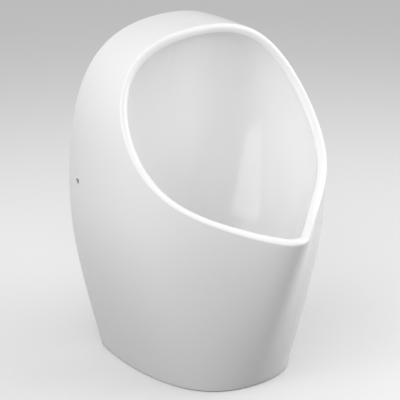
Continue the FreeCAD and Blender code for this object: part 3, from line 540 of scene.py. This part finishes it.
# Wall brackets
# Two bent angles of zinc-plated steel sheet, one leg screwed to the wall and one beside the ceramic. The
# plating keeps a faint patchy sheen, and the sheared edges are broken.
def softened(node, width, same_point=2e-6, flat_angle=1, edge_angle=30):
    """Copy of a plain piece with its flat faces joined again and its edges rounded."""
    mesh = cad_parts[node].data.copy()
    mesh.materials.clear()
    mesh.attributes.remove(mesh.attributes["custom_normal"])
    piece = new_piece(node + "_dressed", mesh)
    work = bmesh.new()
    work.from_mesh(mesh)
    bmesh.ops.remove_doubles(work, verts=work.verts, dist=same_point)
    bmesh.ops.dissolve_limit(work, angle_limit=math.radians(flat_angle), verts=work.verts, edges=work.edges)
    work.to_mesh(mesh)
    work.free()
    rounding = piece.modifiers.new("rounding", "BEVEL")
    rounding.width = width
    rounding.segments = 2
    rounding.limit_method = "ANGLE"
    rounding.angle_limit = math.radians(edge_angle)
    baked(piece)
    return piece


def zinc_plated():
    """Bluish zinc over rolled steel, clouded in patches."""
    material, tree, shader, place = new_finish("zinc_plated_steel")
    patches = wired(tree, "ShaderNodeTexVoronoi", Vector=place, Scale=160).outputs["Distance"]
    colour = blended(tree, patches, (0.66, 0.67, 0.69), (0.56, 0.57, 0.60))
    tree.links.new(colour, shader.inputs["Base Color"])
    shader.inputs["Metallic"].default_value = 1
    sheen = between(tree, cloudy(tree, place, scale=70), low=0.34, high=0.5)
    tree.links.new(sheen, shader.inputs["Roughness"])
    roughened(tree, shader, cloudy(tree, place, scale=1500), strength=0.08, depth=0.0002)
    return material


zinc = zinc_plated()
for side in ("left", "right"):
    node = "wall_bracket_" + side
    dressed(softened(node, width=0.0004), node, "body", zinc)


# Side fixing
# A black rubber pad between each bracket and the ceramic, a natural nylon sleeve in the ceramic's hole,
# a stainless screw with a hexagon socket sunk in it, and a nut on the screw's rolled thread.
def soft_rubber():
    """Moulded black rubber with a pale bloom."""
    material, tree, shader, place = new_finish("black_rubber")
    bloom = cloudy(tree, place, scale=120)
    colour = blended(tree, bloom, (0.018, 0.018, 0.019), (0.045, 0.045, 0.047))
    tree.links.new(colour, shader.inputs["Base Color"])
    tree.links.new(between(tree, bloom, low=0.5, high=0.72), shader.inputs["Roughness"])
    roughened(tree, shader, cloudy(tree, place, scale=2200), strength=0.12, depth=0.0002)
    return material


def moulded(name, pale, deep, gloss, grain, glow=0):
    """Moulded plastic: slight flow shades, a fine tool grain and, where it is thin, some light inside it."""
    material, tree, shader, place = new_finish(name)
    flow = cloudy(tree, place, scale=26)
    tree.links.new(blended(tree, flow, pale, deep), shader.inputs["Base Color"])
    handled = cloudy(tree, place, scale=180)
    tree.links.new(between(tree, handled, low=gloss, high=gloss + 0.1), shader.inputs["Roughness"])
    roughened(tree, shader, cloudy(tree, place, scale=2600), strength=grain, depth=0.0002)
    shader.inputs["Subsurface Weight"].default_value = glow
    shader.inputs["Subsurface Radius"].default_value = (0.003, 0.003, 0.0025)
    return material


def stainless():
    """Stainless steel, darker than bare steel as painted shade for the screw heads in the side holes, with
    fine turning marks across the screw's axis.
    """
    material, tree, shader, place = new_finish("stainless_steel_painted_shade")
    stretch = wired(tree, "ShaderNodeMapping", Vector=place, Scale=(4000, 200, 200)).outputs[0]
    marks = cloudy(tree, stretch, scale=1)
    # Painted shade: the steel's colour is darkened so the screw heads look as dark as the shaded side holes.
    colour = blended(tree, marks, (0.34, 0.34, 0.345), (0.46, 0.46, 0.455))
    tree.links.new(colour, shader.inputs["Base Color"])
    shader.inputs["Metallic"].default_value = 1
    tree.links.new(between(tree, marks, low=0.28, high=0.42), shader.inputs["Roughness"])
    roughened(tree, shader, marks, strength=0.06, depth=0.0001)
    return material


def new_group(name, inputs):
    """Empty geometry group with named number inputs and one geometry output."""
    group = bpy.data.node_groups.new(name, "GeometryNodeTree")
    for label, kind in inputs:
        group.interface.new_socket(label, in_out="INPUT", socket_type=kind)
    group.interface.new_socket("Geometry", in_out="OUTPUT", socket_type="NodeSocketGeometry")
    return group, group.nodes.new("NodeGroupInput").outputs, group.nodes.new("NodeGroupOutput").inputs[0]


def finished(group, geometry, finish, made):
    """End a geometry group: make its copies real and give them their finish."""
    whole = wired(group, "GeometryNodeRealizeInstances", Geometry=geometry)
    surfaced = wired(group, "GeometryNodeSetMaterial", Geometry=whole.outputs[0], Material=finish)
    group.links.new(surfaced.outputs[0], made)


def grown(group, **values):
    """Mesh that a geometry group makes with these inputs."""
    piece = new_piece("grown", bpy.data.meshes.new("grown"))
    growing = piece.modifiers.new("growing", "NODES")
    growing.node_group = group
    for item in group.interface.items_tree:
        if item.item_type == "SOCKET" and item.in_out == "INPUT":
            growing[item.identifier] = values[item.name]
    baked(piece)
    mesh = piece.data
    bpy.data.objects.remove(piece)
    return mesh


def thread_groove(finish):
    """Round groove wound about the Z axis, upward from the origin."""
    group, given, made = new_group("thread_groove", (
        ("radius", "NodeSocketFloat"), ("turns", "NodeSocketFloat"), ("length", "NodeSocketFloat"),
        ("depth", "NodeSocketFloat"), ("fineness", "NodeSocketInt")))
    wound = wired(group, "GeometryNodeCurveSpiral", Resolution=given["fineness"], Rotations=given["turns"],
                  Start_Radius=given["radius"], End_Radius=given["radius"], Height=given["length"])
    section = wired(group, "GeometryNodeCurvePrimitiveCircle", Resolution=8, Radius=given["depth"])
    swept = wired(group, "GeometryNodeCurveToMesh", Curve=wound.outputs[0], Profile_Curve=section.outputs[0],
                  Fill_Caps=True)
    finished(group, swept.outputs[0], finish, made)
    return group


rubber = soft_rubber()
nylon = moulded("natural_nylon", (0.87, 0.86, 0.82), (0.82, 0.81, 0.76), gloss=0.32, grain=0.05, glow=0.12)
# This steel carries painted shade for the side holes on the screws, clamp nuts and thread grooves.
steel = stainless()
dressed(softened("bracket_pads", width=0.0005), "bracket_pads", "body", rubber)
dressed(softened("screw_sleeves", width=0.0001), "screw_sleeves", "body", nylon)
dressed(softened("clamp_nuts", width=0.0003), "clamp_nuts", "body", steel)

screws = softened("side_screws", width=0.0003)
screw_radius = 0.0025
screw_pitch = 0.0008
screw_thread = 0.010
screw_tail = 0.002
groove_share = 0.3
socket_radius = 0.0023
socket_depth = 0.0020
socket_overrun = 0.001
socket_sides = 6
clamp_nut_height = 0.005
tail_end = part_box("clamp_nuts")[1].x - clamp_nut_height - screw_tail
head_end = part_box("side_screws")[1].x
groove = thread_groove(steel)
socket_outline = (
    (0, -socket_depth),
    (socket_radius, -socket_depth),
    (socket_radius, socket_overrun),
    (0, socket_overrun),
)
screw_cutters = []
for side in (1, -1):
    to_side = Matrix.Rotation(side * math.pi / 2, 4, "Y")
    socket = lathe(socket_outline, socket_sides)
    socket.transform(to_side)
    socket.transform(Matrix.Translation((side * head_end, -side_hole_setback, 0)))
    winding = grown(groove, radius=screw_radius, turns=screw_thread / screw_pitch, length=screw_thread,
                    depth=screw_pitch * groove_share, fineness=24)
    winding.transform(to_side)
    winding.transform(Matrix.Translation((side * tail_end, -side_hole_setback, 0)))
    screw_cutters += [socket, winding]
cut_away(screws, screw_cutters)
dressed(screws, "side_screws", "body", steel)


# Trap housing
# A deep pot injection-moulded in white polypropylene. Its flange hangs in the drain seat, its barrel has
# a coarse round thread for the lock nut, and a threaded stub leaves it towards the wall.
polypropylene = moulded("white_polypropylene", (0.84, 0.84, 0.83), (0.80, 0.80, 0.79),
                        gloss=0.34, grain=0.1, glow=0.05)
housing = softened("trap_housing", width=0.0006)
barrel_radius = 0.041
stub_radius = 0.024
thread_pitch = 0.0035
barrel_thread, barrel_groove_share = 0.028, 0.28
stub_thread, stub_groove_share = 0.014, 0.25
groove_proud = 0.0001
thread_below_nut = 0.012
stub_tip = 0.003
outlet_height = 0.030
housing_low, housing_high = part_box("trap_housing")
thread_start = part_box("lock_nut")[0].z - thread_below_nut
groove = thread_groove(polypropylene)
barrel_winding = grown(groove, radius=barrel_radius + groove_proud, turns=barrel_thread / thread_pitch,
                       length=barrel_thread, depth=thread_pitch * barrel_groove_share, fineness=64)
barrel_winding.transform(Matrix.Translation((0, -drain_depth, thread_start)))
stub_winding = grown(groove, radius=stub_radius + groove_proud, turns=stub_thread / thread_pitch,
                     length=stub_thread, depth=thread_pitch * stub_groove_share, fineness=48)
stub_winding.transform(Matrix.Rotation(math.pi / 2, 4, "X"))
stub_winding.transform(Matrix.Translation((0, housing_high.y - stub_tip, housing_low.z + outlet_height)))
cut_away(housing, [barrel_winding, stub_winding])
dressed(housing, "trap_housing", "body", polypropylene)


# Seals, washer and nut of the drain seat
# A rubber seal under the flange, and under the ceramic a rubber seal, a nylon slip washer and the lugged
# lock nut, moulded in light grey polypropylene, which pulls the housing down on its seat.
grey_plastic = moulded("grey_polypropylene", (0.70, 0.715, 0.73), (0.66, 0.67, 0.69), gloss=0.38, grain=0.12)
for node, width, slot, finish in (
    ("flange_seal", 0.0005, "seal_rubber", rubber),
    ("backing_seal", 0.0005, "seal_rubber", rubber),
    ("slip_washer", 0.0003, "slip_plastic", nylon),
    ("lock_nut", 0.0007, "nut_plastic", grey_plastic),
):
    dressed(softened(node, width), node, "body", finish)


# Waste run
# A white polypropylene pipe pushed into the stub, with a tapered rubber seal, a nylon slip ring and a
# grooved nut over the joint. It ends at the wall in a socket with a lip seal in its bulge.
def grip_grooves(finish):
    """Round bars in a ring about the Z axis, to be cut out of a nut's side."""
    group, given, made = new_group("grip_grooves", (
        ("count", "NodeSocketInt"), ("ring radius", "NodeSocketFloat"), ("bar radius", "NodeSocketFloat"),
        ("length", "NodeSocketFloat")))
    spots = wired(group, "GeometryNodeMeshCircle", Vertices=given["count"], Radius=given["ring radius"])
    bar = wired(group, "GeometryNodeMeshCylinder",
                Vertices=14, Radius=given["bar radius"], Depth=given["length"])
    placed = wired(group, "GeometryNodeInstanceOnPoints",
                   Points=spots.outputs[0], Instance=bar.outputs["Mesh"])
    finished(group, placed.outputs[0], finish, made)
    return group


dressed(softened("outlet_pipe", width=0.0006), "outlet_pipe", "body", polypropylene)
dressed(softened("outlet_cone_seal", width=0.0004), "outlet_cone_seal", "body", rubber)
dressed(softened("outlet_slip_ring", width=0.0003), "outlet_slip_ring", "body", nylon)
dressed(softened("socket_seal", width=0.0004), "socket_seal", "body", rubber)
outlet_nut = softened("outlet_nut", width=0.0006)
nut_low, nut_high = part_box("outlet_nut")
nut_middle = (nut_low + nut_high) / 2
grip_count = 28
grip_radius = 0.0020
grip_offset = 0.0011
grip_margin = 0.008
grip_shift = 0.001
bars = grown(grip_grooves(grey_plastic), **{
    "count": grip_count,
    "ring radius": nut_high.x + grip_offset,
    "bar radius": grip_radius,
    "length": nut_high.y - nut_low.y - grip_margin,
})
bars.transform(Matrix.Rotation(math.pi / 2, 4, "X"))
bars.transform(Matrix.Translation((0, nut_middle.y - grip_shift, nut_middle.z)))
cut_away(outlet_nut, [bars])
dressed(outlet_nut, "outlet_nut", "body", grey_plastic)


# Trap cartridge
# The lift-out insert: a funnel with two seal rings, a cup with overflow windows and a guide pin, both
# satin grey mouldings, and a pressed ring of blue cleaning compound on the funnel's ledge.
def pressed_compound():
    """Pressed powder: mixed blue grains with pale specks and a crumbly face."""
    material, tree, shader, place = new_finish("cleaning_compound")
    grains = wired(tree, "ShaderNodeTexVoronoi", Vector=place, Scale=900)
    colour = blended(tree, grains.outputs["Distance"], (0.20, 0.40, 0.60), (0.42, 0.60, 0.76))
    specks = between(tree, cloudy(tree, place, scale=1400), low=-2.2, high=2.0)
    colour = blended(tree, specks, colour, (0.75, 0.82, 0.88))
    tree.links.new(colour, shader.inputs["Base Color"])
    shader.inputs["Roughness"].default_value = 0.85
    roughened(tree, shader, grains.outputs["Distance"], strength=0.4, depth=0.0005)
    return material


cartridge_plastic = moulded("cartridge_moulding", (0.76, 0.775, 0.79), (0.72, 0.735, 0.75),
                            gloss=0.24, grain=0.05, glow=0.04)
for node, width, slot, finish in (
    ("inlet_funnel", 0.0004, "cartridge_plastic", cartridge_plastic),
    ("trap_cup", 0.0004, "cartridge_plastic", cartridge_plastic),
    ("trap_o_rings", 0.0001, "seal_rubber", rubber),
    ("cleaner_block", 0.0009, "cleaner_compound", pressed_compound()),
):
    dressed(softened(node, width), node, "cartridge", finish)


# Strainer cover
# A low slotted dome, moulded in satin white, that plugs into the funnel and lifts off by the boss in
# its middle.
cover_plastic = moulded("satin_white_moulding", (0.86, 0.86, 0.86), (0.83, 0.83, 0.83),
                        gloss=0.22, grain=0.04, glow=0.05)
dressed(softened("trap_cover", width=0.0004), "trap_cover", "cover", cover_plastic)


# Float valve
# A hollow grey float on the cup's guide pin with a flat rubber seal round its hub, which closes the
# funnel's throat from below.
float_plastic = moulded("float_moulding", (0.70, 0.72, 0.745), (0.66, 0.68, 0.70), gloss=0.26, grain=0.05)
dressed(softened("trap_float", width=0.0005), "trap_float", "float", float_plastic)
dressed(softened("float_seal", width=0.0004), "float_seal", "float", rubber)


# Studio
# A plain pale floor that throws little light back and fades into the backdrop, large soft lights at both
# sides and high behind, and the camera of the photo.
def looked_at(tree):
    """1 for the camera, for mirror images and through clear things, 0 for light thrown on from a surface."""
    seen = wired(tree, "ShaderNodeLightPath").outputs
    either = seen["Is Camera Ray"]
    for ray in ("Is Glossy Ray", "Is Transmission Ray"):
        either = wired(tree, "ShaderNodeMath", {"operation": "MAXIMUM"}, _0=either, _1=seen[ray]).outputs[0]
    return either


floor_half = 4
floor_clear, floor_gone = 0.45, 1.8
floor_gap = 0.0005
floor_level = foot_level - floor_gap
floor_corners = [(side * floor_half, end * floor_half, floor_level)
                 for side, end in ((-1, -1), (1, -1), (1, 1), (-1, 1))]
floor_mesh = bpy.data.meshes.new("floor")
floor_mesh.from_pydata(floor_corners, [], [(0, 1, 2, 3)])
floor = new_piece("floor", floor_mesh)
material, tree, shader, place = new_finish("pale_floor")
floor_colour = blended(tree, looked_at(tree), (0.08, 0.08, 0.08), (0.86, 0.86, 0.86))
tree.links.new(floor_colour, shader.inputs["Base Color"])
shader.inputs["Roughness"].default_value = 0.7
shader.inputs["Specular IOR Level"].default_value = 0
away = wired(tree, "ShaderNodeVectorMath", {"operation": "LENGTH"}, _0=place).outputs["Value"]
fade = wired(tree, "ShaderNodeMapRange", {"interpolation_type": "SMOOTHSTEP"},
             Value=away, From_Min=floor_clear, From_Max=floor_gone).outputs[0]
clear = wired(tree, "ShaderNodeBsdfTransparent").outputs[0]
faded = wired(tree, "ShaderNodeMixShader", _0=fade, _1=shader.outputs[0], _2=clear).outputs[0]
tree.links.new(faded, tree.nodes["Material Output"].inputs["Surface"])
floor_mesh.materials.append(material)


def direction(azimuth, rise):
    """Way out from the body: azimuth 0 is straight in front of it, and a right angle is at its left."""
    turn, lift = math.radians(azimuth), math.radians(rise)
    return Vector((-math.sin(turn) * math.cos(lift), -math.cos(turn) * math.cos(lift), math.sin(lift)))


def aimed(thing, way, distance):
    """Set a light or camera at a distance and turn it to the middle of the body."""
    bpy.context.scene.collection.objects.link(thing)
    thing.location = body_middle + way * distance
    thing.rotation_mode = "QUATERNION"
    thing.rotation_quaternion = (-way).to_track_quat("-Z", "Y")


body_middle = Vector((0, -0.150, foot_level + 0.260))
softbox_distance = 2.4
for name, azimuth, rise, width, height, power in (
    ("left_softbox", 62, 25, 3.2, 2.4, 43),
    ("right_softbox", -60, 18, 2.6, 1.5, 32),
    ("high_left_softbox", 105, 50, 2.2, 2.2, 12),
    ("high_right_softbox", -75, 50, 2.2, 2.2, 14),
    ("high_back_softbox", 180, 65, 2.2, 2.2, 10),
):
    data = bpy.data.lights.new(name, "AREA")
    data.shape = "RECTANGLE"
    data.size = width
    data.size_y = height
    data.energy = power
    aimed(bpy.data.objects.new(name, data), direction(azimuth, rise), softbox_distance)

world = bpy.data.worlds.new("studio")
world.use_nodes = True
tree = world.node_tree
backdrop = tree.nodes["Background"].inputs
backdrop["Color"].default_value = (1, 1, 1, 1)
tree.links.new(between(tree, looked_at(tree), low=0.3, high=0.5), backdrop["Strength"])
bpy.context.scene.world = world
bpy.context.scene.view_settings.view_transform = "Standard"

camera_azimuth = 34.75
camera_rise = 23.134
camera_distance = 3.6926
camera_data = bpy.data.cameras.new("photo_camera")
camera_data.lens = 222.1
camera_data.sensor_width = 36
camera_data.shift_x = -0.0461
camera_data.shift_y = 0.0121
camera = bpy.data.objects.new("photo_camera", camera_data)
aimed(camera, direction(camera_azimuth, camera_rise), camera_distance)
bpy.context.scene.camera = camera
